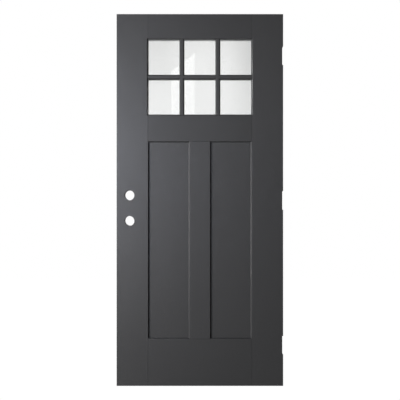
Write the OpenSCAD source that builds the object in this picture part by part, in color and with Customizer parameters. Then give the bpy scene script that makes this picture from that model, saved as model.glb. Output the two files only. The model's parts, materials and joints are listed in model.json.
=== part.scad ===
// Panelled entry-door slab: two moulded skins over a timber-edged foam core,
// with a flush-glazed insulating glass unit divided into six lites, two flat
// recessed panels, two lock bores and three hinge mortises.
// Frame: origin at the middle of the bottom edge, +Z up, the front face towards -Y,
// the lock edge at -X and the hinge edge at +X.

/* [Slab] */
// Width of the slab
door_w = 910; // [740:1:1100]
// Height of the slab
door_h = 2032; // [1690:1:2450]
// Thickness over both skins
door_t = 44.4; // [38:0.1:57]
// Thickness of each moulded skin
skin_t = 2; // [1.6:0.1:2.5]

/* [Face layout] */
// Face width of each stile beside the panels
stile_face_w = 171.5; // [140:0.5:190]
// Face width of each stile beside the glass
lite_side_w = 166; // [140:0.5:190]
// Face width of the mullion between the panels
mullion_face_w = 111; // [80:0.5:140]
// Face height of the top rail
top_rail_face_h = 132.5; // [115:0.5:180]
// Height of the glazed opening, measured at the face
lite_h = 421.5; // [350:0.5:600]
// Face height of the lock rail
lock_rail_face_h = 141.5; // [110:0.5:180]
// Face height of the bottom rail
bottom_rail_face_h = 257; // [150:1:320]

/* [Sticking] */
// Depth of the panels below the face
recess_d = 9.5; // [6:0.1:11]
// Width of the sloping wall round each recess
slope_w = 5.5; // [4:0.1:12]
// Radius of the eased edge at the top of the slope
slope_edge_r = 1.5; // [0.5:0.1:1.8]
// Radius of the cove at the foot of the slope
cove_r = 1.5; // [0.5:0.1:1.8]
// Flat lip between the slope and the glass
lip_w = 1; // [1:0.1:5]
// Chamfer on the outer edges of each skin
skin_ease = 0.8; // [0.3:0.1:1.2]
// Width of the embossed joint lines
seam_w = 1.2; // [0.6:0.1:3]
// Depth of the embossed joint lines
seam_d = 0.6; // [0.3:0.1:1]

/* [Core frame] */
// Width of each laminated stile
stile_w = 35; // [28:1:42]
// Height of the top core rail
top_core_h = 32; // [25:1:60]
// Height of the bottom core rail
bottom_core_h = 45; // [30:1:90]
// Width of the lock block
lock_block_w = 90; // [80:1:110]
// Height of the lock block
lock_block_h = 420; // [280:1:600]
// Width of the composite strips round the glass unit
dam_w = 30; // [18:1:34]

/* [Hinge mortises] */
// Height of each hinge leaf seat
hinge_h = 102; // [89:0.5:127]
// Width of the door's edge left behind each seat
hinge_lip = 6.3; // [3:0.1:12]
// Depth of each seat
hinge_seat_d = 5; // [2.5:0.1:6]
// Corner radius of each seat
hinge_corner_r = 6.4; // [3:0.1:16]
// From the top of the slab to the middle of the top seat
hinge_from_top = 227; // [180:1:300]
// From the bottom of the slab to the middle of the bottom seat
hinge_from_bottom = 222; // [180:1:320]

/* [Lock preparation] */
// Height of the latch bore's centre
latch_z = 901.5; // [850:0.5:1050]
// Distance from the latch bore up to the deadbolt bore
lock_spacing = 139.7; // [100:0.1:152]
// From the lock edge to the bores' centres
backset = 69.8; // [66:0.1:71]
// Diameter of the cross bores
cross_bore_d = 54; // [50:0.1:56]
// Diameter of the edge bores
edge_bore_d = 25.4; // [22:0.1:26]
// Length of each faceplate seat
faceplate_h = 57.2; // [50:0.1:60]
// Width of each faceplate seat
faceplate_w = 26; // [25.5:0.1:30]
// Depth of each faceplate seat
faceplate_d = 3.2; // [1.5:0.1:4]
// Corner radius of each faceplate seat
faceplate_r = 6.3; // [1:0.1:10]

/* [Glass unit] */
// Thickness of each pane
pane_t = 3.2; // [3:0.1:5]
// How far the panes reach past the sight line
bite = 12.5; // [11:0.1:16]
// Gap round the glass unit, filled below by the setting blocks
edge_gap = 3; // [2:0.1:4]
// Thickness of the sealant bed between lip and glass
bed_t = 0.9; // [0.5:0.1:1.5]
// Width of the sealant bed
bed_w = 10; // [6:0.1:11]
// Gap from the sight line to the spacer
spacer_inset = 1.5; // [0.5:0.1:3]
// Height of the spacer section
spacer_h = 6.5; // [5:0.1:7]
// Wall of the spacer section
spacer_wall = 0.6; // [0.4:0.1:1]
// Thickness of the butyl between spacer and pane
butyl_t = 0.4; // [0.2:0.1:0.6]
// Length of each corner key's legs
key_leg = 25; // [15:1:40]
// Length of each setting block
block_l = 100; // [50:1:120]

/* [Divider bars] */
// Width of each surface bar at the glass
bar_w = 27; // [22:0.5:34]
// Width of the flat front of each surface bar
bar_flat_w = 14; // [8:0.5:20]
// Height of each surface bar
bar_h = 8; // [6:0.5:9]
// Square foot of each surface bar, below its bevels
bar_foot_h = 1.5; // [0.5:0.1:3]
// Gap between the bars and what they meet
bar_gap = 0.3; // [0.1:0.1:1]
// Thickness of the mounting tape
tape_t = 0.8; // [0.5:0.1:1.2]
// Width of the mounting tape
tape_w = 19; // [12:0.5:24]

/* [Hidden] */
$fn = 96;
eps = 1; // overshoot of cuts
arc_steps = 4; // flats in each rounded stretch of the sticking
fit_gap = 0.1; // play of plugs and keys in their hollow sections

paint = "#4a4b4e";
timber = "#b98f5f";
composite = "#8d8a80";
sealant_grey = "#2b2c2e";

core_t = door_t - 2 * skin_t;
lite_w = door_w - 2 * lite_side_w;
lite_z = door_h - top_rail_face_h - lite_h / 2;
panel_top_z = door_h - top_rail_face_h - lite_h - lock_rail_face_h;
panel_h = panel_top_z - bottom_rail_face_h;
panel_w = (door_w - 2 * stile_face_w - mullion_face_w) / 2;
panel_x = (mullion_face_w + panel_w) / 2;
panel_z = bottom_rail_face_h + panel_h / 2;
seam_x = door_w / 2 - stile_face_w;

// Clear glass, inside the lips
sight_w = lite_w - 2 * (slope_w + lip_w);
sight_h = lite_h - 2 * (slope_w + lip_w);
pane_w = sight_w + 2 * bite;
pane_h = sight_h + 2 * bite;
glass_depth = recess_d + skin_t + bed_t;
unit_t = door_t - 2 * glass_depth;
cavity_t = unit_t - 2 * pane_t;
dam_in_w = pane_w + 2 * edge_gap;
dam_in_h = pane_h + 2 * edge_gap;
dam_out_w = dam_in_w + 2 * dam_w;
dam_out_h = dam_in_h + 2 * dam_w;

spacer_in_w = sight_w + 2 * spacer_inset;
spacer_in_h = sight_h + 2 * spacer_inset;
spacer_out_w = spacer_in_w + 2 * spacer_h;
spacer_out_h = spacer_in_h + 2 * spacer_h;
spacer_t = cavity_t - 2 * butyl_t;

// Three columns of equal lites, so the upright bars stand half a pitch off centre
lite_pitch = (sight_w + bar_w) / 3;
bar_x = lite_pitch / 2;
side_cross_l = lite_w / 2 - bar_x;
side_cross_x = bar_x + side_cross_l / 2;

hinge_zs = [
    door_h - hinge_from_top,
    (door_h - hinge_from_top + hinge_from_bottom) / 2,
    hinge_from_bottom
];
lock_zs = [latch_z, latch_z + lock_spacing];
bore_x = backset - door_w / 2;
lock_block_z = latch_z + lock_spacing / 2 - lock_block_h / 2;
block_x = pane_w / 4; // setting blocks stand at the quarter points

// Faces of the door, and its edges
FRONT = 1;
BACK = -1;
LOCK = -1;
HINGE = 1;

// --- Sticking: [inset from the opening's edge, depth below the face] ---

slope_angle = atan2(recess_d, slope_w);
edge_tangent = slope_edge_r * tan(slope_angle / 2);
cove_tangent = cove_r * tan(slope_angle / 2);
face_profile = concat(
    [[-edge_tangent, -eps]],
    [for (i = [0:arc_steps]) let (a = slope_angle * i / arc_steps)
        [-edge_tangent + slope_edge_r * sin(a), slope_edge_r * (1 - cos(a))]],
    [for (i = [0:arc_steps]) let (a = slope_angle * (1 - i / arc_steps))
        [slope_w + cove_tangent - cove_r * sin(a), recess_d - cove_r * (1 - cos(a))]]
);

// Inset of the slope's hidden side, one skin thickness behind the slope
function back_inset(depth) =
    -skin_t * sin(slope_angle) + (depth - skin_t * cos(slope_angle)) / tan(slope_angle);
back_profile = [
    [back_inset(skin_t / 2), skin_t / 2],
    [back_inset(recess_d + skin_t), recess_d + skin_t]
];

// Open space in front of the glass, inside the lips, taken in by gap
function pocket_profile(gap) = concat(
    [for (p = face_profile) [p[0] + gap, p[1]]],
    [[slope_w + lip_w + gap, recess_d], [slope_w + lip_w + gap, glass_depth]]
);

// --- Frames of reference ---

// Local x across the face, y up it and z out of it, with z = 0 on the face
module on_face(side) {
    rotate([0, 0, side == FRONT ? 0 : 180])
        translate([0, -door_t / 2, 0])
            rotate([90, 0, 0])
                children();
}

// The middle of the glass unit, with x across, y up and z towards the front
module at_glass() {
    translate([0, 0, lite_z])
        rotate([90, 0, 0])
            children();
}

module at_lite(side) {
    on_face(side)
        translate([0, lite_z, 0])
            children();
}

// --- Shared shapes ---

// A stack of rectangles, each inset and sunk as the profile says
module rect_loft(w, h, profile) {
    last = 4 * (len(profile) - 1);
    polyhedron(
        points = [
            for (p = profile)
                for (c = [[-1, -1], [1, -1], [1, 1], [-1, 1]])
                    [c[0] * (w / 2 - p[0]), c[1] * (h / 2 - p[0]), -p[1]]
        ],
        faces = concat(
            [[3, 2, 1, 0]],
            [for (k = [0:4:last - 4]) for (i = [0:3])
                [k + i, k + (i + 1) % 4, k + 4 + (i + 1) % 4, k + 4 + i]],
            [[last, last + 1, last + 2, last + 3]]
        )
    );
}

module block(size) {
    cube(size, center = true);
}

// Rectangular ring centred on z = 0
module ring(out_w, out_h, in_w, in_h, t) {
    difference() {
        block([out_w, out_h, t]);
        block([in_w, in_h, t + 2 * eps]);
    }
}

// Hollow spacer section along x, centred
module spacer_bar(length) {
    difference() {
        block([length, spacer_h, spacer_t]);
        block([length + 2 * eps, spacer_h - 2 * spacer_wall, spacer_t - 2 * spacer_wall]);
    }
}

// Puts its children at each recess of a face, with that recess's size
module at_wells() {
    for (s = [-1, 1])
        translate([s * panel_x, panel_z, 0])
            let ($well_w = panel_w, $well_h = panel_h)
                children();
    translate([0, lite_z, 0])
        let ($well_w = lite_w, $well_h = lite_h)
            children();
}

// Plate with rounded corners, centred in x and y, from z = 0 up
module rounded_plate(w, h, t, r) {
    translate([-w / 2 + r, -h / 2, 0]) cube([w - 2 * r, h, t]);
    translate([-w / 2, -h / 2 + r, 0]) cube([w, h - 2 * r, t]);
    for (x = [-1, 1])
        for (y = [-1, 1])
            translate([x * (w / 2 - r), y * (h / 2 - r), 0])
                cylinder(r = r, h = t);
}

// --- Cuts shared by the pieces they pass through ---

module cross_bores() {
    for (z = lock_zs)
        translate([bore_x, 0, z])
            rotate([90, 0, 0])
                cylinder(d = cross_bore_d, h = door_t + 2 * eps, center = true);
}

module edge_bores() {
    for (z = lock_zs)
        translate([-door_w / 2 - eps, 0, z])
            rotate([0, 90, 0])
                cylinder(d = edge_bore_d, h = backset + eps);
}

module faceplate_seats() {
    for (z = lock_zs)
        translate([-door_w / 2 + faceplate_d, 0, z])
            rotate([0, -90, 0])
                rounded_plate(faceplate_h, faceplate_w, faceplate_d + eps, faceplate_r);
}

// Open at the front face, with a lip of skin and timber left at the back
module hinge_seats() {
    for (z = hinge_zs)
        translate([door_w / 2 - hinge_seat_d, -hinge_lip - hinge_corner_r, z])
            rotate([0, 90, 0])
                rounded_plate(
                    hinge_h,
                    door_t + 2 * hinge_corner_r,
                    hinge_seat_d + eps,
                    hinge_corner_r
                );
}

// V-shaped line along local y, centred on its own middle
module seam(length) {
    rotate([90, 0, 0])
        linear_extrude(length, center = true)
            polygon([
                [0, -seam_d],
                [seam_w, seam_d],
                [-seam_w, seam_d]
            ]);
}

// Joint lines of the stiles with the rails, and of the mullion with the rails
module seams() {
    lite_top_z = lite_z + lite_h / 2;
    spans = [
        [-eps, bottom_rail_face_h],
        [panel_top_z, panel_top_z + lock_rail_face_h],
        [lite_top_z, door_h + eps]
    ];
    for (s = [-1, 1])
        for (span = spans)
            translate([s * seam_x, (span[0] + span[1]) / 2, 0])
                seam(span[1] - span[0]);
    for (z = [bottom_rail_face_h, panel_top_z])
        translate([0, z, 0])
            rotate([0, 0, 90])
                seam(mullion_face_w);
}

// --- Skins ---

module skin(side) {
    color(paint)
        difference() {
            on_face(side)
                difference() {
                    union() {
                        translate([0, door_h / 2, 0])
                            rect_loft(
                                door_w,
                                door_h,
                                [[skin_ease, 0], [0, skin_ease], [0, skin_t]]
                            );
                        at_wells() rect_loft($well_w, $well_h, back_profile);
                    }
                    at_wells() rect_loft($well_w, $well_h, face_profile);
                    translate([0, lite_z, -recess_d])
                        block([sight_w, sight_h, 2 * (skin_t + eps)]);
                    seams();
                }
            cross_bores();
            if (side == FRONT) hinge_seats();
        }
}

// --- Core frame and filling ---

// Piece of the core frame, from its lower corner, through the whole core thickness
module core_member(x, z, w, h) {
    translate([x, -core_t / 2, z])
        cube([w, core_t, h]);
}

module lock_stile() {
    color(timber)
        difference() {
            core_member(-door_w / 2, 0, stile_w, door_h);
            cross_bores();
            edge_bores();
            faceplate_seats();
        }
}

module hinge_stile() {
    color(timber)
        difference() {
            core_member(door_w / 2 - stile_w, 0, stile_w, door_h);
            hinge_seats();
        }
}

module core_rail(z, h) {
    color(composite)
        core_member(stile_w - door_w / 2, z, door_w - 2 * stile_w, h);
}

module lock_block() {
    color(timber)
        difference() {
            core_member(stile_w - door_w / 2, lock_block_z, lock_block_w, lock_block_h);
            cross_bores();
            edge_bores();
        }
}

module foam_core() {
    color("#e8dfae")
        difference() {
            core_member(
                stile_w - door_w / 2,
                bottom_core_h,
                door_w - 2 * stile_w,
                door_h - bottom_core_h - top_core_h
            );
            translate([stile_w - door_w / 2 - eps, -door_t / 2, lock_block_z])
                cube([lock_block_w + eps, door_t, lock_block_h]);
            at_glass() block([dam_out_w, dam_out_h, door_t]);
            cross_bores();
            edge_bores();
            for (side = [FRONT, BACK])
                on_face(side)
                    at_wells() rect_loft($well_w, $well_h, back_profile);
        }
}

// Strips round the glass unit: the uprights run past the ends of the head and sill
module dam_upright(s) {
    color(composite)
        at_glass()
            translate([s * (dam_in_w + dam_w) / 2, 0, 0])
                block([dam_w, dam_out_h, core_t]);
}

module dam_level(s) {
    color(composite)
        at_glass()
            translate([0, s * (dam_in_h + dam_w) / 2, 0])
                block([dam_in_w, dam_w, core_t]);
}

// --- Insulating glass unit ---

module pane(side) {
    color("#dfeae8", 0.35)
        at_glass()
            translate([0, 0, side * (cavity_t + pane_t) / 2])
                block([pane_w, pane_h, pane_t]);
}

module spacer_level(s) {
    color("silver")
        at_glass()
            translate([0, s * (spacer_in_h + spacer_h) / 2, 0])
                spacer_bar(spacer_in_w);
}

module spacer_upright(s) {
    color("silver")
        at_glass()
            translate([s * (spacer_in_w + spacer_h) / 2, 0, 0])
                rotate([0, 0, 90])
                    spacer_bar(spacer_in_h);
}

// Clear section inside the hollow spacer, less the play of what goes in it
spacer_room_h = spacer_h - 2 * (spacer_wall + fit_gap);
spacer_room_t = spacer_t - 2 * (spacer_wall + fit_gap);

module corner_keys() {
    color("#55585c")
        at_glass()
            for (x = [-1, 1])
                for (y = [-1, 1])
                    translate([
                        x * (spacer_in_w + spacer_h) / 2,
                        y * (spacer_in_h + spacer_h) / 2,
                        0
                    ]) {
                        block([spacer_h, spacer_h, spacer_t]);
                        translate([-x * (spacer_h / 2 + key_leg) / 2, 0, 0])
                            block([spacer_h / 2 + key_leg, spacer_room_h, spacer_room_t]);
                        translate([0, -y * (spacer_h / 2 + key_leg) / 2, 0])
                            block([spacer_room_h, spacer_h / 2 + key_leg, spacer_room_t]);
                    }
}

// Drying beads, packed in the upright spacers between the corner keys
module desiccant() {
    color("#f2eee2")
        at_glass()
            for (s = [-1, 1])
                translate([s * (spacer_in_w + spacer_h) / 2, 0, 0])
                    block([spacer_room_h, spacer_in_h - 2 * key_leg, spacer_room_t]);
}

module butyl_seal(side) {
    color(sealant_grey)
        at_glass()
            translate([0, 0, side * (spacer_t + butyl_t) / 2])
                ring(spacer_out_w, spacer_out_h, spacer_in_w, spacer_in_h, butyl_t);
}

module edge_sealant() {
    color(sealant_grey)
        at_glass()
            ring(pane_w, pane_h, spacer_out_w, spacer_out_h, cavity_t);
}

module setting_blocks() {
    color("#3a3c3c")
        at_glass()
            for (s = [-1, 1])
                translate([s * block_x, -(pane_h + edge_gap) / 2, 0])
                    block([block_l, edge_gap, unit_t]);
}

// Sealant bed: a thin layer under the lip and a wedge behind the slope
module glazing_bed(side) {
    wedge_d = recess_d / 2; // reach of the wedge behind the slope
    color(sealant_grey)
        at_lite(side)
            difference() {
                translate([0, 0, -glass_depth + (wedge_d + bed_t) / 2])
                    ring(
                        sight_w + 2 * bed_w,
                        sight_h + 2 * bed_w,
                        sight_w + 2 * bar_gap,
                        sight_h + 2 * bar_gap,
                        wedge_d + bed_t
                    );
                rect_loft(lite_w, lite_h, back_profile);
            }
}

// --- Divider bars ---

// Bevelled bar along local y, standing on the tape
module bar_stick(length, grow = 0) {
    foot = bar_w / 2 + grow;
    flat = bar_flat_w / 2 + grow;
    translate([0, 0, tape_t - glass_depth])
        rotate([90, 0, 0])
            linear_extrude(length, center = true)
                polygon([
                    [-foot, -grow],
                    [foot, -grow],
                    [foot, bar_foot_h],
                    [flat, bar_h + grow],
                    [-flat, bar_h + grow],
                    [-foot, bar_foot_h]
                ]);
}

// The space that the bars fill, coped to the slope and lip round the glass
module lite_pocket(gap) {
    rect_loft(lite_w, lite_h, pocket_profile(gap));
}

module upright_bar(side, edge) {
    color(paint)
        at_lite(side)
            intersection() {
                translate([side * edge * bar_x, 0, 0]) bar_stick(lite_h);
                lite_pocket(bar_gap);
            }
}

// Cross bar of the given middle and length, coped over the bevels of the upright bars
module cross_bar(side, x, length) {
    color(paint)
        at_lite(side)
            difference() {
                intersection() {
                    translate([side * x, 0, 0])
                        rotate([0, 0, 90])
                            bar_stick(length);
                    lite_pocket(bar_gap);
                }
                for (s = [-1, 1])
                    translate([s * bar_x, 0, 0])
                        bar_stick(lite_h, bar_gap);
            }
}

// Tape under each bar, set in from the bar's edges and ends
module bar_tape(side) {
    inset = (bar_w - tape_w) / 2 + bar_gap;
    color("#1c1d1e")
        at_lite(side)
            translate([0, 0, tape_t / 2 - glass_depth]) {
                for (x = [-bar_x, bar_x])
                    translate([x, 0, 0])
                        block([tape_w, sight_h - 2 * inset, tape_t]);
                for (x = [-lite_pitch, 0, lite_pitch])
                    translate([x, 0, 0])
                        block([lite_pitch - bar_w - 2 * inset, tape_w, tape_t]);
            }
}

// --- Nodes ---

skin(FRONT);  // front_skin
skin(BACK);  // back_skin
lock_stile();
hinge_stile();
core_rail(door_h - top_core_h, top_core_h);  // top_core_rail
core_rail(0, bottom_core_h);  // bottom_core_rail
lock_block();
foam_core();
dam_level(1);  // glazing_head
dam_level(-1);  // glazing_sill
dam_upright(LOCK);  // glazing_lock_jamb
dam_upright(HINGE);  // glazing_hinge_jamb
pane(FRONT);  // front_pane
pane(BACK);  // back_pane
spacer_level(1);  // spacer_head
spacer_level(-1);  // spacer_sill
spacer_upright(LOCK);  // spacer_lock_side
spacer_upright(HINGE);  // spacer_hinge_side
corner_keys();  // spacer_corner_keys
desiccant();
butyl_seal(FRONT);  // front_butyl_seal
butyl_seal(BACK);  // back_butyl_seal
edge_sealant();
setting_blocks();
glazing_bed(FRONT);  // front_glazing_bed
glazing_bed(BACK);  // back_glazing_bed
bar_tape(FRONT);  // front_bar_tape
bar_tape(BACK);  // back_bar_tape
upright_bar(FRONT, LOCK);  // front_bar_lock_side
upright_bar(FRONT, HINGE);  // front_bar_hinge_side
upright_bar(BACK, LOCK);  // back_bar_lock_side
upright_bar(BACK, HINGE);  // back_bar_hinge_side
cross_bar(FRONT, 0, lite_pitch);  // front_cross_bar_middle
cross_bar(FRONT, LOCK * side_cross_x, side_cross_l);  // front_cross_bar_lock_side
cross_bar(FRONT, HINGE * side_cross_x, side_cross_l);  // front_cross_bar_hinge_side
cross_bar(BACK, 0, lite_pitch);  // back_cross_bar_middle
cross_bar(BACK, LOCK * side_cross_x, side_cross_l);  // back_cross_bar_lock_side
cross_bar(BACK, HINGE * side_cross_x, side_cross_l);  // back_cross_bar_hinge_side
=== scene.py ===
"""Finishes for a moulded entry door slab: satin grey skins with pressed wood grain,
divider bars, coated timber edges, insulating glass, and a plain studio round them."""

import json
import math

import bpy
from bpy.props import FloatProperty, FloatVectorProperty, PointerProperty
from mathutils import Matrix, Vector


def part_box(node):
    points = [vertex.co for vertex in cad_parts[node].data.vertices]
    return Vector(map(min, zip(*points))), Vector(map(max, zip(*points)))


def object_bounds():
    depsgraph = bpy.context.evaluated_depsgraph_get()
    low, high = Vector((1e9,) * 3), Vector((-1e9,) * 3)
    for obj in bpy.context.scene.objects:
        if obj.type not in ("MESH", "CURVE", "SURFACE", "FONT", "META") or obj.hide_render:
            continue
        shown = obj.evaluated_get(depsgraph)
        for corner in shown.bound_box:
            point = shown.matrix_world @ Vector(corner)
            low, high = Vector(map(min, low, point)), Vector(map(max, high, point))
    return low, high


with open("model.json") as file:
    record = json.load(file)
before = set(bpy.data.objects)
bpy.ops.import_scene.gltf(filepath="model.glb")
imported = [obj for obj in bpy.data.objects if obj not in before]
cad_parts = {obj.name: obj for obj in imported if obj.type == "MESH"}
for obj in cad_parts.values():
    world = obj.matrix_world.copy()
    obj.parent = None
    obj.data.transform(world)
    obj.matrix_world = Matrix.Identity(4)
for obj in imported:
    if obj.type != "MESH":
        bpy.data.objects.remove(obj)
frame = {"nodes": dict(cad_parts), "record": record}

bl_info = {
    "name": "Entry Door Slab",
    "version": (1, 0, 0),
    "blender": (4, 5, 0),
    "location": "3D View > Sidebar > Door",
    "description": "Finishes a moulded entry door slab and lights it in a plain studio",
    "category": "Object",
}

CAD_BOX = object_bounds()
NODES = frame["nodes"]
WHITE = (1.0, 1.0, 1.0)
PAINT_IOR = 1.48
GLASS_IOR = 1.52
OPENINGS = {o["name"]: o["box_m"] for o in frame["record"]["physics"]["openings"]}

SKINS = ["front_skin", "back_skin"]
UPRIGHT_BARS = [f"{face}_bar_{edge}_side" for face in ("front", "back") for edge in ("lock", "hinge")]
CROSS_BARS = [
    f"{face}_cross_bar_{place}"
    for face in ("front", "back")
    for place in ("lock_side", "middle", "hinge_side")
]
STILES = ["lock_stile", "hinge_stile"]
BOARDS = [
    "top_core_rail",
    "bottom_core_rail",
    "glazing_head",
    "glazing_sill",
    "glazing_lock_jamb",
    "glazing_hinge_jamb",
]
PANES = ["front_pane", "back_pane"]
SPACERS = ["spacer_head", "spacer_sill", "spacer_lock_side", "spacer_hinge_side"]
SEALANTS = [
    "front_butyl_seal",
    "back_butyl_seal",
    "edge_sealant",
    "front_glazing_bed",
    "back_glazing_bed",
]


# --- Where the door's members meet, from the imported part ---


class Layout:
    """The lines between the door's stiles, rails and mullion, in metres."""

    def __init__(self):
        margin = 0.009  # the openings stop this far inside the edges of the recesses
        low, high = OPENINGS["front_panel_hinge_side"]
        self.seam_x = high[0] + margin
        self.mullion_x = low[0] - margin
        self.bottom_rail_top = low[2] - margin
        self.lock_rail_bottom = high[2] + margin
        low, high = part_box(PANES[0])
        reach = 0.006  # the glass's hidden edge lies this far past the edge of the recess
        self.lock_rail_top = low[2] + reach
        self.top_rail_bottom = high[2] - reach
        low, high = CAD_BOX
        self.height = high[2] - low[2]
        self.front_y = low[1]


LAYOUT = Layout()


# --- Shader expressions ---


class Wire:
    """A socket in a node tree. Arithmetic on it adds Math nodes."""

    def __init__(self, graph, socket):
        self.graph = graph
        self.socket = socket

    def math(self, operation, *others):
        return self.graph.add(
            "ShaderNodeMath", {"operation": operation}, dict(enumerate((self, *others)))
        )

    def __add__(self, other):
        return self.math("ADD", other)

    __radd__ = __add__

    def __mul__(self, other):
        return self.math("MULTIPLY", other)

    __rmul__ = __mul__

    def __sub__(self, other):
        return self.math("SUBTRACT", other)

    def __rsub__(self, other):
        return (self * -1) + other

    def __truediv__(self, other):
        return self.math("DIVIDE", other)

    def __rtruediv__(self, other):
        return self.math("POWER", -1) * other

    def __pow__(self, other):
        return self.math("POWER", other)

    def __neg__(self):
        return self * -1

    def __abs__(self):
        return self.math("ABSOLUTE")

    def __gt__(self, other):
        return self.math("GREATER_THAN", other)

    def __lt__(self, other):
        return self.math("LESS_THAN", other)

    def least(self, other):
        return self.math("MINIMUM", other)

    def most(self, other):
        return self.math("MAXIMUM", other)

    def ramp(self, start, end):
        """0 at start, 1 at end, smooth between them; start may be the larger."""
        return self.graph.add(
            "ShaderNodeMapRange",
            {"interpolation_type": "SMOOTHSTEP", "clamp": True},
            {"Value": self, "From Min": start, "From Max": end},
        )


class Graph:
    """A node tree that is written as expressions."""

    def __init__(self, owner):
        owner.use_nodes = True
        self.tree = owner.node_tree
        self.tree.nodes.clear()

    def add(self, kind, settings=None, inputs=None, output=0):
        node = self.tree.nodes.new(kind)
        for name, value in (settings or {}).items():
            setattr(node, name, value)
        for name, value in (inputs or {}).items():
            if isinstance(value, Wire):
                self.tree.links.new(value.socket, node.inputs[name])
            else:
                node.inputs[name].default_value = value
        return Wire(self, node.outputs[output])

    def place(self):
        """Where a point lies in the door's own frame, as three wires."""
        point = self.add("ShaderNodeTexCoord", output="Object")
        return tuple(
            self.add("ShaderNodeSeparateXYZ", None, {0: point}, output=axis) for axis in "XYZ"
        )

    def vector(self, x, y, z):
        return self.add("ShaderNodeCombineXYZ", None, {0: x, 1: y, 2: z})

    def noise(self, point, detail=3.0, roughness=0.55):
        return self.add(
            "ShaderNodeTexNoise",
            {"noise_dimensions": "3D", "normalize": True},
            {"Vector": point, "Scale": 1.0, "Detail": detail, "Roughness": roughness},
        )

    def cells(self, point):
        """Distance to the nearest of many scattered points."""
        return self.add("ShaderNodeTexVoronoi", {"feature": "F1"}, {"Vector": point, "Scale": 1.0})

    def blend(self, factor, first, second):
        """Colours, from first at 0 to second at 1."""
        return self.add(
            "ShaderNodeMix",
            {"data_type": "RGBA", "clamp_factor": True},
            {0: factor, 6: first, 7: second},
            output=2,
        )

    def shade(self, factor, colour):
        """A colour darkened or lightened by a number."""
        return self.add(
            "ShaderNodeVectorMath", {"operation": "SCALE"}, {0: colour, "Scale": factor}
        )

    def bump(self, height, depth):
        """Normal of a relief whose height runs from 0 to 1 over the given depth, in metres."""
        return self.add(
            "ShaderNodeBump", None, {"Strength": 1.0, "Distance": depth, "Height": height}
        )

    def glow(self, kind, colour):
        """Finishes a tree that only gives off light."""
        self.add_output(kind, self.add("ShaderNodeEmission", None, {"Color": colour, "Strength": 1.0}))

    def add_output(self, kind, shader):
        node = self.tree.nodes.new(kind)
        self.tree.links.new(shader.socket, node.inputs["Surface"])


def new_material(name):
    material = bpy.data.materials.new(name)
    return material, Graph(material)


def principled(graph, **inputs):
    """Finishes a material; underscores stand for the spaces in the sockets' names."""
    shader = graph.add(
        "ShaderNodeBsdfPrincipled",
        None,
        {name.replace("_", " "): value for name, value in inputs.items()},
    )
    graph.add_output("ShaderNodeOutputMaterial", shader)


def give(material, names):
    """Puts one material on every slot of the named nodes."""
    for name in names:
        slots = NODES[name].material_slots
        if not slots:
            raise RuntimeError(f"{name} has no material slot")
        for slot in slots:
            slot.material = material


# --- Reliefs and masks ---


def grain_relief(graph, across, along, depth_in):
    """Pressed wood grain, 0 to 1: fine streaks, broad bands and short pores."""
    drift = graph.noise(graph.vector(across * 5, along * 1.3, depth_in * 5), detail=2.0)
    bent = across + drift * 0.016
    bands = graph.noise(graph.vector(bent * 95, along * 2.2, depth_in * 40), detail=2.0)
    streaks = graph.noise(
        graph.vector(bent * 620, along * 9, depth_in * 300), detail=4.0, roughness=0.62
    )
    pores = graph.noise(graph.vector(bent * 1350, along * 55, depth_in * 600), detail=1.0)
    return bands * 0.2 + streaks.ramp(0.25, 0.75) * 0.5 + pores.ramp(0.66, 0.52) * 0.3


def member_masks(graph, x, z):
    """Where the grain runs level, and where the joint lines between members are."""
    room = LAYOUT
    side = abs(x)
    middle = side < room.seam_x
    bottom_rail = z < room.bottom_rail_top
    lock_rail = (z > room.lock_rail_bottom) * (z < room.lock_rail_top)
    top_rail = z > room.top_rail_bottom
    rails = (bottom_rail + lock_rail + top_rail).least(1.0)
    level = middle * rails

    outer, inner = 0.00135, 0.00045  # where a joint line's shade starts and is full
    # Painted shade: these masks darken the paint along the embossed joint lines, for the shade in
    # their grooves.
    upright_joint = abs(side - room.seam_x).ramp(outer, inner) * rails
    over = abs(z - room.lock_rail_bottom).least(abs(z - room.bottom_rail_top))
    mullion_joint = over.ramp(outer, inner) * (side < room.mullion_x)
    return level, upright_joint.most(mullion_joint)


# --- Properties ---


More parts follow.
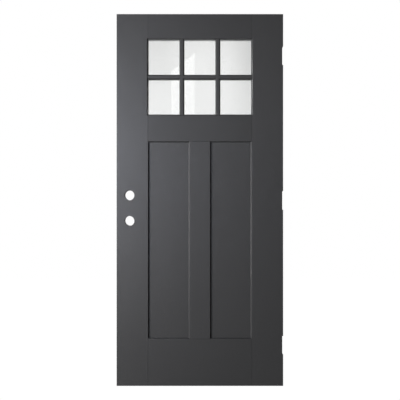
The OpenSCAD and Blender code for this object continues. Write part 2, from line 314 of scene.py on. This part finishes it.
class DoorFinish(bpy.types.PropertyGroup):
    """Colours and textures of the door's own materials."""

    paint: FloatVectorProperty(
        name="Paint",
        description="Colour of the skins, bars and coated edges",
        subtype="COLOR",
        size=3,
        min=0.0,
        max=1.0,
        default=(0.0220, 0.0220, 0.0224),
    )
    paint_roughness: FloatProperty(
        name="Paint Roughness",
        description="Roughness of the satin paint on upright members",
        min=0.1,
        max=1.0,
        default=0.41,
    )
    rail_roughness: FloatProperty(
        name="Rail Roughness",
        description="Roughness of the satin paint on level members",
        min=0.1,
        max=1.0,
        default=0.45,
    )
    # Painted shade: darkens the base colour of the level members to stand in for the weaker sheen
    # their level grain catches from the side light; the paint itself is the same as on the uprights.
    rail_painted_shade: FloatProperty(
        name="Rail Shade",
        description="Tone of the paint on level members, from 0 for black to 1 for plain paint",
        min=0.0,
        max=1.0,
        default=0.88,
    )
    grain_depth: FloatProperty(
        name="Grain Depth",
        description="Height of the pressed wood grain",
        unit="LENGTH",
        min=0.0,
        max=0.001,
        precision=6,
        default=0.00030,
    )
    # Painted shade: darkens the paint along the embossed joint lines, standing in for the shade in
    # their grooves.
    joint_painted_shade: FloatProperty(
        name="Joint Shade",
        description="How dark the embossed joint lines are, from 0 for black to 1 for plain paint",
        min=0.0,
        max=1.0,
        default=0.25,
    )
    timber: FloatVectorProperty(
        name="Timber",
        description="Colour of the laminated timber where it is bare",
        subtype="COLOR",
        size=3,
        min=0.0,
        max=1.0,
        default=(0.46, 0.29, 0.14),
    )
    # Painted shade: a near-black colour for the bore walls that stands in for the shade inside the
    # bores.
    bore_wall_painted_shade: FloatVectorProperty(
        name="Bore Wall",
        description="Colour of the matt walls of the bores",
        subtype="COLOR",
        size=3,
        min=0.0,
        max=1.0,
        default=(0.030, 0.030, 0.031),
    )
    board: FloatVectorProperty(
        name="Board",
        description="Colour of the composite rails and of the strips round the glass",
        subtype="COLOR",
        size=3,
        min=0.0,
        max=1.0,
        default=(0.30, 0.28, 0.24),
    )
    foam: FloatVectorProperty(
        name="Foam",
        description="Colour of the insulating foam",
        subtype="COLOR",
        size=3,
        min=0.0,
        max=1.0,
        default=(0.80, 0.72, 0.42),
    )
    glass: FloatVectorProperty(
        name="Glass",
        description="Tint that one pass through a pane's surface gives",
        subtype="COLOR",
        size=3,
        min=0.0,
        max=1.0,
        default=(0.835, 0.839, 0.836),
    )
    sealant: FloatVectorProperty(
        name="Sealant",
        description="Colour of the sealants and setting blocks",
        subtype="COLOR",
        size=3,
        min=0.0,
        max=1.0,
        default=(0.020, 0.021, 0.022),
    )


class DoorStudio(bpy.types.PropertyGroup):
    """The camera and the lights."""

    camera_distance: FloatProperty(
        name="Camera Distance",
        description="From the lens to the door's front face",
        unit="LENGTH",
        min=1.0,
        max=10.0,
        default=3.4,
    )
    framed_width: FloatProperty(
        name="Framed Width",
        description="Width of the view at the door's front face",
        unit="LENGTH",
        min=0.5,
        max=6.0,
        default=2.1854,
    )
    side_power: FloatProperty(
        name="Side Window",
        description="Power of the tall soft light well out at the lock side",
        unit="POWER",
        min=0.0,
        max=2000.0,
        default=227.0,
    )
    side_colour: FloatVectorProperty(
        name="Side Colour",
        description="Colour of the tall soft light",
        subtype="COLOR",
        size=3,
        min=0.0,
        max=1.0,
        default=(0.99, 0.975, 0.96),
    )
    sheen_power: FloatProperty(
        name="Sheen Window",
        description="Power of the soft light nearer the camera, which draws the sheen on the paint",
        unit="POWER",
        min=0.0,
        max=2000.0,
        default=62.0,
    )
    sheen_colour: FloatVectorProperty(
        name="Sheen Colour",
        description="Colour of the soft light nearer the camera",
        subtype="COLOR",
        size=3,
        min=0.0,
        max=1.0,
        default=(0.74, 0.80, 1.0),
    )
    back_power: FloatProperty(
        name="Back Light",
        description="Power of the soft light on the door's other face",
        unit="POWER",
        min=0.0,
        max=2000.0,
        default=150.0,
    )
    edge_power: FloatProperty(
        name="Edge Light",
        description="Power of the soft light on the hinge edge",
        unit="POWER",
        min=0.0,
        max=2000.0,
        default=60.0,
    )
    ambient: FloatProperty(
        name="Ambient",
        description="Brightness of the room before and behind the door",
        min=0.0,
        max=4.0,
        default=0.20,
    )
    room_colour: FloatVectorProperty(
        name="Room Colour",
        description="Colour of the light that comes from the room and the floor",
        subtype="COLOR",
        size=3,
        min=0.0,
        max=1.0,
        default=(1.0, 0.985, 0.94),
    )
    floor_light: FloatProperty(
        name="Floor Light",
        description="Brightness of the light that comes up from the floor",
        min=0.0,
        max=4.0,
        default=0.32,
    )


# --- Operators ---


class DOOR_OT_skins(bpy.types.Operator):
    """Paint the two moulded skins, with the grain along each stile, rail and panel"""

    bl_idname = "door.skins"
    bl_label = "Finish Skins"

    def execute(self, context):
        look = context.scene.door_finish
        material, graph = new_material("satin_paint_on_skin")
        x, y, z = graph.place()
        level, joints = member_masks(graph, x, z)
        upright_grain = grain_relief(graph, x, z, y)
        level_grain = grain_relief(graph, z + 3.0, x, y)
        grain = upright_grain * (1 - level) + level_grain * level

        cloud = graph.noise(graph.vector(x * 3, y * 3, z * 3), detail=2.0)
        tone = (0.96 + cloud * 0.08) * (0.94 + grain * 0.12)
        # Painted shade: the base colour is darkened on the level members, for their weaker sheen, and
        # along the embossed joint lines, for the shade in their grooves.
        tone = tone * (1 - level * (1 - look.rail_painted_shade)) * (1 - joints * (1 - look.joint_painted_shade))
        roughness = level * (look.rail_roughness - look.paint_roughness) + look.paint_roughness
        roughness = roughness + (grain - 0.5) * -0.05 + joints * 0.2
        principled(
            graph,
            Base_Color=graph.shade(tone, look.paint[:]),
            Roughness=roughness,
            Normal=graph.bump(grain, look.grain_depth),
            IOR=PAINT_IOR,
        )
        give(material, SKINS)
        return {"FINISHED"}


class DOOR_OT_bars(bpy.types.Operator):
    """Paint the divider bars, with the grain along each bar, and ease their edges"""

    bl_idname = "door.bars"
    bl_label = "Finish Bars"

    def ease(self, bar):
        """Round the bar's sharp edges, once the corners of its faces are joined."""
        weld = bar.modifiers.new("join_corners", "WELD")
        weld.merge_threshold = 0.00001
        bevel = bar.modifiers.new("eased_edges", "BEVEL")
        bevel.width = 0.0007
        bevel.segments = 3
        bevel.limit_method = "ANGLE"
        bevel.angle_limit = math.radians(20)
        bevel.harden_normals = True

    def execute(self, context):
        look = context.scene.door_finish
        for name, bars, upright in (
            ("satin_paint_on_upright_bar", UPRIGHT_BARS, True),
            ("satin_paint_on_cross_bar", CROSS_BARS, False),
        ):
            material, graph = new_material(name)
            x, y, z = graph.place()
            grain = grain_relief(graph, x, z, y) if upright else grain_relief(graph, z, x, y)
            principled(
                graph,
                Base_Color=graph.shade(0.92 + grain * 0.12, look.paint[:]),
                Roughness=0.45 - grain * 0.05,
                Normal=graph.bump(grain, look.grain_depth * 0.5),
                IOR=PAINT_IOR,
            )
            give(material, bars)
            for bar in bars:
                self.ease(NODES[bar])
        return {"FINISHED"}


class DOOR_OT_edges(bpy.types.Operator):
    """Finish the stiles, the lock block and the composite boards"""

    bl_idname = "door.edges"
    bl_label = "Finish Edges"

    def laminated(self, look):
        """The stiles: dark coated faces, and bare timber at the slab's two ends."""
        material, graph = new_material("laminated_timber")
        x, y, z = graph.place()
        half = LAYOUT.height / 2
        end_depth = 0.0002
        bare = abs(z - half) > half - end_depth
        plies = graph.noise(graph.vector(x * 310, y * 0.4, z * 0.5), detail=1.0)
        fibres = graph.noise(graph.vector(x * 900, y * 700, z * 12), detail=4.0, roughness=0.7)
        wood = graph.blend(
            plies.ramp(0.35, 0.65),
            graph.shade(0.62 + fibres * 0.5, look.timber[:]),
            graph.shade(0.85 + fibres * 0.5, look.timber[:]),
        )
        coat = graph.shade(0.85 + fibres * 0.3, look.paint[:])
        relief = fibres * 0.6 + plies * 0.4
        principled(
            graph,
            Base_Color=graph.blend(bare, coat, wood),
            Roughness=0.52 + bare * 0.3 - fibres * 0.06,
            Normal=graph.bump(relief, 0.00010),
            IOR=PAINT_IOR,
        )
        give(material, STILES)

    def bore_wall_painted_shade(self, look):
        """The lock block: all that can be seen of it is the walls of the bores. Their near-black
        colour is painted shade, standing in for timber that lies unlit.
        """
        material, graph = new_material("matt_bore_wall")
        x, y, z = graph.place()
        fibres = graph.noise(graph.vector(x * 700, y * 700, z * 25), detail=4.0, roughness=0.7)
        tool = graph.noise(graph.vector(x * 40, y * 1400, z * 40), detail=1.0)
        principled(
            graph,
            Base_Color=graph.shade(0.6 + fibres * 0.4, look.bore_wall_painted_shade[:]),
            Roughness=0.95 - fibres * 0.05,
            Normal=graph.bump(fibres * 0.5 + tool * 0.5, 0.00010),
            Specular_IOR_Level=0.1,
        )
        give(material, ["lock_block"])

    def composite(self, look):
        material, graph = new_material("composite_board")
        x, y, z = graph.place()
        chips = graph.cells(graph.vector(x * 240, y * 420, z * 420))
        flow = graph.noise(graph.vector(x * 60, y * 260, z * 260), detail=4.0)
        tone = 0.72 + chips * 0.35 + flow * 0.3
        principled(
            graph,
            Base_Color=graph.shade(tone, look.board[:]),
            Roughness=0.78 - flow * 0.12,
            Normal=graph.bump(chips * 0.5 + flow * 0.5, 0.00012),
        )
        give(material, BOARDS)

    def execute(self, context):
        look = context.scene.door_finish
        self.laminated(look)
        self.bore_wall_painted_shade(look)
        self.composite(look)
        return {"FINISHED"}


class DOOR_OT_filling(bpy.types.Operator):
    """Finish the foam between the skins and the drying beads in the spacer"""

    bl_idname = "door.filling"
    bl_label = "Finish Filling"

    def execute(self, context):
        look = context.scene.door_finish
        material, graph = new_material("insulating_foam")
        x, y, z = graph.place()
        pits = graph.cells(graph.vector(x * 900, y * 900, z * 900))
        swell = graph.noise(graph.vector(x * 14, y * 40, z * 14), detail=3.0)
        # Painted shade: the base colour is darker in the pits of the foam's cells.
        principled(
            graph,
            Base_Color=graph.shade(0.78 + pits * 0.25 + swell * 0.12, look.foam[:]),
            Roughness=0.95 - pits * 0.1,
            Normal=graph.bump(pits, 0.0003),
        )
        give(material, ["foam_core"])

        material, graph = new_material("drying_beads")
        x, y, z = graph.place()
        beads = graph.cells(graph.vector(x * 800, y * 800, z * 800))
        # Painted light and shade: each bead is lighter on its crown and darker where the beads meet.
        principled(
            graph,
            Base_Color=graph.shade(beads.ramp(0.75, 0.1) * 0.5 + 0.5, (0.82, 0.79, 0.70)),
            Roughness=0.7 + beads * 0.2,
            Normal=graph.bump(1 - beads, 0.0006),
        )
        give(material, ["desiccant"])
        return {"FINISHED"}


class DOOR_OT_glass(bpy.types.Operator):
    """Make the two panes clear, with faint dust"""

    bl_idname = "door.glass"
    bl_label = "Finish Glass"

    def execute(self, context):
        look = context.scene.door_finish
        material, graph = new_material("clear_glass")
        x, y, z = graph.place()
        film = graph.noise(graph.vector(x * 7, y * 7, z * 5), detail=5.0, roughness=0.6)
        principled(
            graph,
            Base_Color=graph.shade(1 - film.ramp(0.5, 0.9) * 0.02, look.glass[:]),
            Roughness=0.0,
            Transmission_Weight=1.0,
            IOR=GLASS_IOR,
        )
        give(material, PANES)
        return {"FINISHED"}


class DOOR_OT_seals(bpy.types.Operator):
    """Finish the spacer, its keys, the sealants, the setting blocks and the bar tape"""

    bl_idname = "door.seals"
    bl_label = "Finish Seals"

    def spacer(self):
        material, graph = new_material("mill_aluminium")
        x, y, z = graph.place()
        drawn = graph.noise(graph.vector(x * 30, y * 2600, z * 30), detail=3.0)
        low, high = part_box("spacer_head")
        centre_y = (low[1] + high[1]) / 2
        pitch = 0.0042  # from one breather hole to the next
        outer, inner = 0.0000004, 0.0000002  # squares of the radii where a hole starts and is full
        run = ((x + z) / pitch).math("FRACT") - 0.5
        hole = ((run * pitch) ** 2 + (y - centre_y) ** 2).ramp(outer, inner)
        # Painted shade: the breather holes are darkened in the base colour, for the shade inside them.
        principled(
            graph,
            Base_Color=graph.shade((0.86 + drawn * 0.2) * (1 - hole * 0.9), (0.62, 0.63, 0.65)),
            Metallic=1 - hole,
            Roughness=0.30 + drawn * 0.12 + hole * 0.4,
            Normal=graph.bump(drawn * 0.3 - hole, 0.00015),
        )
        give(material, SPACERS)

    def keys(self):
        material, graph = new_material("spacer_key_nylon")
        x, y, z = graph.place()
        skin = graph.noise(graph.vector(x * 1500, y * 1500, z * 1500), detail=2.0)
        principled(
            graph,
            Base_Color=graph.shade(0.85 + skin * 0.3, (0.075, 0.08, 0.085)),
            Roughness=0.5 + skin * 0.1,
            Normal=graph.bump(skin, 0.00004),
        )
        give(material, ["spacer_corner_keys"])

    def sealant(self, look):
        material, graph = new_material("cured_sealant")
        x, y, z = graph.place()
        ripple = graph.noise(graph.vector(x * 130, y * 200, z * 130), detail=3.0)
        principled(
            graph,
            Base_Color=graph.shade(0.8 + ripple * 0.4, look.sealant[:]),
            Roughness=0.55 + ripple * 0.2,
            Normal=graph.bump(ripple, 0.0002),
        )
        give(material, SEALANTS)

    def block(self, look):
        material, graph = new_material("setting_block_rubber")
        x = graph.place()[0]
        ribs = (x * 500).math("SINE") * 0.5 + 0.5
        # Painted shade: the base colour is darker in the grooves between the ribs.
        principled(
            graph,
            Base_Color=graph.shade(0.9 + ribs * 0.3, look.sealant[:]),
            Roughness=0.75 - ribs * 0.1,
            Normal=graph.bump(ribs, 0.0003),
        )
        give(material, ["setting_blocks"])

    def tape(self):
        material, graph = new_material("foam_bar_tape")
        x, y, z = graph.place()
        pores = graph.cells(graph.vector(x * 2200, y * 2200, z * 2200))
        # Painted shade: the base colour is darker in the pores of the tape.
        principled(
            graph,
            Base_Color=graph.shade(0.6 + pores * 0.7, (0.014, 0.014, 0.015)),
            Roughness=0.85 + pores * 0.1,
            Normal=graph.bump(pores, 0.0001),
        )
        give(material, ["front_bar_tape", "back_bar_tape"])

    def execute(self, context):
        look = context.scene.door_finish
        self.spacer()
        self.keys()
        self.sealant(look)
        self.block(look)
        self.tape()
        return {"FINISHED"}


class DOOR_OT_stage(bpy.types.Operator):
    """Set the floor, the room, the lights and the camera"""

    bl_idname = "door.stage"
    bl_label = "Build Studio"

    def link(self, context, thing, place, aim=None):
        context.scene.collection.objects.link(thing)
        thing.location = place
        if aim is not None:
            away = Vector(place) - Vector(aim)
            thing.rotation_euler = away.to_track_quat("Z", "Y").to_euler()

    def card(self, context, name, centre, size, aim=None):
        """A flat sheet that isn't part of the door, facing aim."""
        w, h = size[0] / 2, size[1] / 2
        mesh = bpy.data.meshes.new(name)
        mesh.from_pydata([(-w, -h, 0), (w, -h, 0), (w, h, 0), (-w, h, 0)], [], [(0, 1, 2, 3)])
        thing = bpy.data.objects.new(name, mesh)
        self.link(context, thing, centre, aim)
        return thing

    def only_seen(self, thing, camera=False, glossy=False):
        """Which rays meet a sheet. It gives no diffuse light and casts no shadow."""
        thing.visible_camera = camera
        thing.visible_transmission = True
        thing.visible_glossy = glossy
        thing.visible_diffuse = False
        thing.visible_shadow = False
        thing.visible_volume_scatter = False

    def floor(self, context):
        below = 0.0005  # a hair below the slab, so that the two don't share a plane
        floor_z = CAD_BOX[0][2] - below
        floor = self.card(context, "studio_floor", (0, 0, floor_z), (9.0, 9.0))
        material, graph = new_material("pale_floor")
        x, y, z = graph.place()
        speck = graph.noise(graph.vector(x * 4, y * 4, z), detail=2.0)
        graph.glow("ShaderNodeOutputMaterial", graph.shade(1.0 + speck * 0.02, WHITE))
        floor.data.materials.append(material)
        self.only_seen(floor, camera=True)

    def window(self, context, studio):
        """The bright room behind the camera that the glass mirrors."""
        low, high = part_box(PANES[0])
        behind = 1.2  # from the lens back to the sheet
        spare = 0.1  # what the sheet reaches past all that the glass can mirror
        lens_y = LAYOUT.front_y - studio.camera_distance
        lens_z = LAYOUT.height / 2
        stretch = (studio.camera_distance + behind) / studio.camera_distance
        half_w = high[0] * (1 + stretch) + spare
        bottom = low[2] + (low[2] - lens_z) * stretch - spare
        top = high[2] + (high[2] - lens_z) * stretch + spare
        card = self.card(
            context,
            "mirrored_room",
            (0, lens_y - behind, (bottom + top) / 2),
            (2 * half_w, top - bottom),
            (0, 0, (bottom + top) / 2),
        )
        material, graph = new_material("room_glow")
        u, v = graph.place()[:2]
        across = u / half_w
        up = v / ((top - bottom) / 2)
        # A bright doorway with a sloping head
        below_head = (across + 0.6 - up).ramp(-0.01, 0.02)
        doorway = across.ramp(-0.475, -0.46) * across.ramp(-0.07, -0.10) * below_head
        doorway = doorway * (0.82 + up.ramp(-0.9, 0.1) * 0.18)
        gloom = across.ramp(0.33, 0.95) * (0.5 + up.ramp(-0.8, 0.9) * 0.5)
        shaded_side = across.ramp(-0.3, -0.6) * up.ramp(-0.5, 0.3)
        haze = 2.15 - up.ramp(0.2, 0.9) * 0.5 - shaded_side * 0.5
        bright = haze * (1 - gloom) * (1 - doorway) + doorway * 3.2
        graph.glow("ShaderNodeOutputMaterial", graph.shade(bright, WHITE))
        card.data.materials.append(material)
        self.only_seen(card, glossy=True)

    def lamp(self, context, name, place, aim, size, power, colour):
        light = bpy.data.lights.new(name, "AREA")
        light.shape = "RECTANGLE"
        light.size, light.size_y = size
        light.energy = power
        light.color = colour
        thing = bpy.data.objects.new(name, light)
        self.link(context, thing, place, aim)

    def room(self, context, studio):
        """White to the lens and through the glass, and a softer, warmer light elsewhere."""
        world = bpy.data.worlds.new("studio_room")
        context.scene.world = world
        graph = Graph(world)
        seen = graph.add("ShaderNodeLightPath", output="Is Camera Ray").most(
            graph.add("ShaderNodeLightPath", output="Is Transmission Ray")
        )
        way = graph.add("ShaderNodeTexCoord", output="Generated")
        across = graph.add("ShaderNodeSeparateXYZ", None, {0: way}, output="Y")
        up = graph.add("ShaderNodeSeparateXYZ", None, {0: way}, output="Z")
        bright = abs(across) * studio.ambient + (-up).most(0.0) * studio.floor_light
        light = graph.shade(bright, studio.room_colour[:])
        backdrop = graph.shade(1.0, WHITE)
        graph.glow("ShaderNodeOutputWorld", graph.blend(seen, light, backdrop))

    def camera(self, context, studio):
        camera = bpy.data.cameras.new("studio_camera")
        camera.sensor_width = 36.0
        camera.lens = camera.sensor_width * studio.camera_distance / studio.framed_width
        camera.clip_end = 50.0
        thing = bpy.data.objects.new("studio_camera", camera)
        lens_x = 0.0006  # a hair to the hinge side of the door's middle
        lens_y = LAYOUT.front_y - studio.camera_distance
        self.link(context, thing, (lens_x, lens_y, LAYOUT.height / 2))
        thing.rotation_euler = (math.radians(90), 0, 0)
        context.scene.camera = thing

    def execute(self, context):
        studio = context.scene.door_studio
        self.floor(context)
        self.window(context, studio)
        self.room(context, studio)
        self.lamp(
            context,
            "side_window",
            (-2.75, -2.06, 1.25),
            (-0.3, 0.0, 1.3),
            (1.0, 2.2),
            studio.side_power,
            studio.side_colour[:],
        )
        self.lamp(
            context,
            "sheen_window",
            (-1.9, -2.77, 1.5),
            (-0.3, 0.0, 1.3),
            (0.9, 1.4),
            studio.sheen_power,
            studio.sheen_colour[:],
        )
        self.lamp(
            context,
            "back_light",
            (-1.9, 2.6, 1.8),
            (0.0, 0.0, 1.0),
            (1.4, 1.8),
            studio.back_power,
            WHITE,
        )
        # Behind the plane of the front face, which it therefore leaves alone
        self.lamp(
            context,
            "hinge_edge_light",
            (2.6, 0.5, 1.2),
            (0.455, 0.0, 1.0),
            (0.8, 2.0),
            studio.edge_power,
            WHITE,
        )
        self.camera(context, studio)
        context.scene.view_settings.view_transform = "Standard"
        context.scene.view_settings.look = "None"
        return {"FINISHED"}


OPERATORS = (
    DOOR_OT_skins,
    DOOR_OT_bars,
    DOOR_OT_edges,
    DOOR_OT_filling,
    DOOR_OT_glass,
    DOOR_OT_seals,
    DOOR_OT_stage,
)


class DOOR_PT_panel(bpy.types.Panel):
    """Lists the door's finishes and its studio"""

    bl_idname = "DOOR_PT_panel"
    bl_label = "Entry Door"
    bl_space_type = "VIEW_3D"
    bl_region_type = "UI"
    bl_category = "Door"

    def draw(self, context):
        layout = self.layout
        for group in (context.scene.door_finish, context.scene.door_studio):
            column = layout.column()
            for name in group.__annotations__:
                column.prop(group, name)
        column = layout.column()
        for operator in OPERATORS:
            column.operator(operator.bl_idname)


CLASSES = (DoorFinish, DoorStudio, *OPERATORS, DOOR_PT_panel)


def register():
    for cls in CLASSES:
        bpy.utils.register_class(cls)
    bpy.types.Scene.door_finish = PointerProperty(type=DoorFinish)
    bpy.types.Scene.door_studio = PointerProperty(type=DoorStudio)


def unregister():
    del bpy.types.Scene.door_studio
    del bpy.types.Scene.door_finish
    for cls in reversed(CLASSES):
        bpy.utils.unregister_class(cls)


def main():
    register()
    for operator in OPERATORS:
        group, name = operator.bl_idname.split(".")
        getattr(getattr(bpy.ops, group), name)()


if __name__ == "__main__":
    main()
